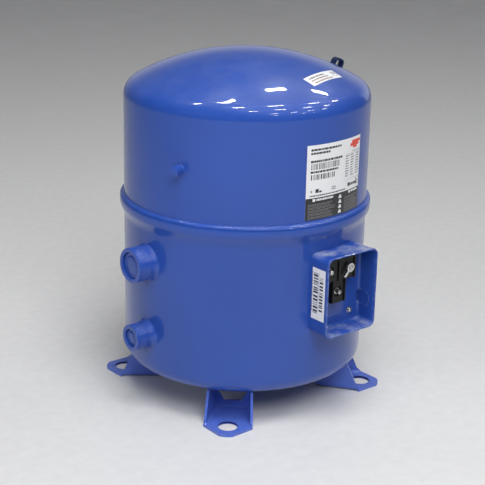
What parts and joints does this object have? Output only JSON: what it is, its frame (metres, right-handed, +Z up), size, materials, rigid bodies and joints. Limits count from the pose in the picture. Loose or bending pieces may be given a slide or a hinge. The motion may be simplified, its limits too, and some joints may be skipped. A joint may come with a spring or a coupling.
{
  "type": "hermetic reciprocating compressor",
  "caption": "Tall welded steel compressor shell on pressed feet, with side pipe fittings, an open terminal box and a radial piston pump under an electric motor inside.",
  "frame": {"origin": "on the shell axis, at the level of the undersides of the feet", "axes": "+Z up along the shell axis; the pipe fittings face -X and the terminal box faces -Y"},
  "size_m": [0.408, 0.422, 0.502],
  "materials": {
    "blue_enamel": "glossy baked enamel with light orange peel",
    "dark_enamel": "dark blue enamel, satin",
    "black_plastic": "moulded thermoset, satin",
    "label_film": "printed vinyl film",
    "zinc_screw": "bright zinc plated",
    "plate_steel": "ground steel",
    "machined_steel": "turned and ground",
    "lamination_steel": "stacked laminations",
    "copper_wire": "varnished copper winding",
    "copper_pipe": "drawn copper",
    "bearing_bronze": "bearing bronze",
    "brass": "machined brass",
    "sight_glass": "fused glass",
    "lead_sleeve": "braided sleeve",
    "cast_iron": "as cast, machined faces",
    "aluminium": "die cast"
  },
  "bodies": {
    "shell": {"box_label": "label_film", "cable_entry_knockout": "blue_enamel", "cylinder_block": "cast_iron", "cylinder_head_1": "cast_iron", "cylinder_head_2": "cast_iron", "cylinder_head_3": "cast_iron", "cylinder_head_4": "cast_iron", "discharge_pipe": "copper_pipe", "discharge_plug": "blue_enamel", "discharge_port": "blue_enamel", "dome_label": "label_film", "earth_screw": "zinc_screw", "equalising_cap": "brass", "equalising_port": "blue_enamel", "gauge_valve_cap": "blue_enamel", "gauge_valve_stub": "blue_enamel", "hermetic_terminal": "plate_steel", "lifting_eye": "dark_enamel", "lower_bearing_cover": "cast_iron", "lower_shell": "blue_enamel", "motor_leads": "lead_sleeve", "motor_support": "cast_iron", "mounting_foot_back": "blue_enamel", "mounting_foot_front": "blue_enamel", "mounting_foot_left": "blue_enamel", "mounting_foot_right": "blue_enamel", "name_label": "label_film", "seam_weld": "blue_enamel", "sight_glass_body": "blue_enamel", "sight_glass_lens": "sight_glass", "stator_core": "lamination_steel", "stator_winding_lower": "copper_wire", "stator_winding_upper": "copper_wire", "suction_plug": "blue_enamel", "suction_port": "blue_enamel", "terminal_block": "black_plastic", "terminal_box": "blue_enamel", "terminal_screw_left": "zinc_screw", "terminal_screw_lower": "zinc_screw", "terminal_screw_right": "zinc_screw", "upper_shell": "blue_enamel", "valve_plate_1": "plate_steel", "valve_plate_2": "plate_steel", "valve_plate_3": "plate_steel", "valve_plate_4": "plate_steel"},
    "crank": {"crankshaft": "machined_steel", "rotor": "machined_steel"},
    "washer": {"thrust_washer": "bearing_bronze"},
    "pair_x": {"piston_1": "aluminium", "piston_2": "aluminium", "wrist_pin_1": "machined_steel", "wrist_pin_2": "machined_steel", "connecting_rod_1": "aluminium", "connecting_rod_2": "aluminium"},
    "pair_y": {"piston_3": "aluminium", "piston_4": "aluminium", "wrist_pin_3": "machined_steel", "wrist_pin_4": "machined_steel", "connecting_rod_3": "aluminium", "connecting_rod_4": "aluminium"}
  },
  "joints": [
    {"name": "crank_spin", "type": "hinge", "parent": "shell", "child": "crank", "pos_m": [0, 0, 0.15], "axis": [0, 0, 1], "continuous": true},
    {"name": "washer_spin", "type": "hinge", "parent": "crank", "child": "washer", "pos_m": [0.006, 0, 0.125], "axis": [0, 0, 1], "continuous": true},
    {"name": "pistons_x_stroke", "type": "hinge", "parent": "washer", "child": "pair_x", "pos_m": [0.012, 0, 0.138], "axis": [0, 0, 1], "continuous": true},
    {"name": "pistons_y_stroke", "type": "hinge", "parent": "washer", "child": "pair_y", "pos_m": [0, 0, 0.162], "axis": [0, 0, 1], "continuous": true}
  ],
  "couplings": [
    {"joint": "washer_spin", "follows": "crank_spin", "ratio": -2},
    {"joint": "pistons_x_stroke", "follows": "crank_spin", "ratio": 1},
    {"joint": "pistons_y_stroke", "follows": "crank_spin", "ratio": 1}
  ]
}
